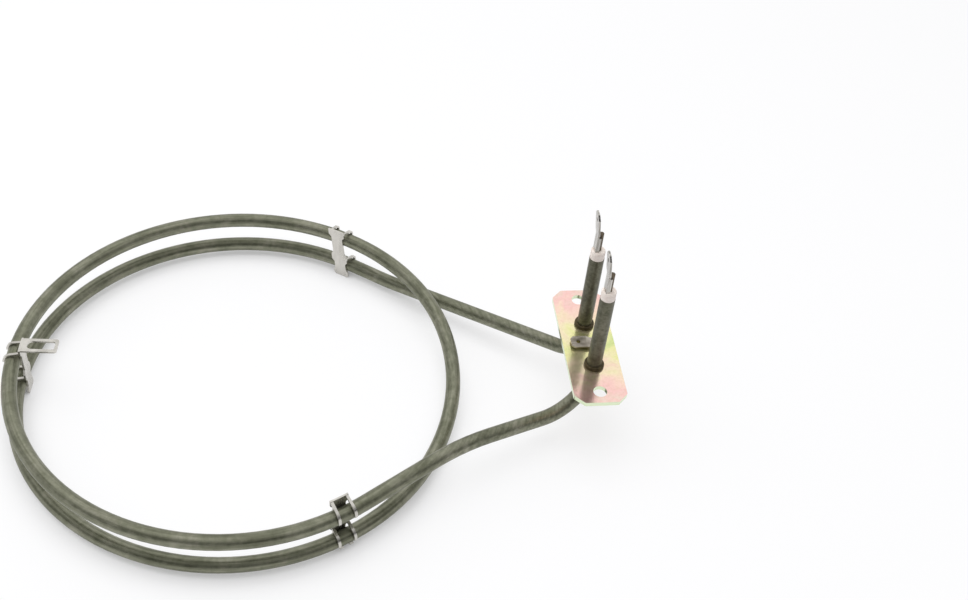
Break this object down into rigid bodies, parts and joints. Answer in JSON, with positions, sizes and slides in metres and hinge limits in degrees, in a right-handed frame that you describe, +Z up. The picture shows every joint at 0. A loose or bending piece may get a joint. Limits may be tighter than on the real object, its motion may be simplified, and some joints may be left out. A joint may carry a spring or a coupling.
{
  "type": "tubular heating element",
  "caption": "Round two-turn tubular heating element with a screw-on flange, upright terminal legs, earth tag and clips that hold the turns apart.",
  "frame": {"origin": "middle of the flange's terminal-side face, midway between its two fixing holes", "axes": "+Z up the two terminal legs, away from the ring side of the flange; +X from the ring towards the flange; the fixing holes stand along Y"},
  "size_m": [0.2565, 0.19, 0.0998],
  "materials": {
    "oxidised_sheath": "olive-grey heat-oxidised steel, satin",
    "magnesia": "packed white powder",
    "coil_wire": "dull resistance wire",
    "zinc_yellow": "yellow-passivated zinc plate with pink and green tints",
    "tag_steel": "plain grey steel",
    "clip_steel": "bright stainless strip",
    "collar_braze": "dark brown braze",
    "pin_steel": "dull brown-grey steel",
    "seal_resin": "cast resin",
    "ceramic": "unglazed pinkish-white ceramic",
    "tinned_tab": "tinned, bright"
  },
  "bodies": {
    "root": {"sheath_tube": "oxidised_sheath", "magnesia_filling": "magnesia", "resistance_coil": "coil_wire", "mounting_flange": "zinc_yellow", "earth_tag": "tag_steel", "slotted_bracket_clip": "clip_steel", "spacer_clip_rear": "clip_steel", "spacer_clip_front": "clip_steel", "leg_collar_front": "collar_braze", "leg_collar_rear": "collar_braze", "cold_pin_front": "pin_steel", "cold_pin_rear": "pin_steel", "end_seal_front": "seal_resin", "end_seal_rear": "seal_resin", "ceramic_bush_front": "ceramic", "ceramic_bush_rear": "ceramic", "terminal_tab_front": "tinned_tab", "terminal_tab_rear": "tinned_tab"}
  },
  "joints": []
}
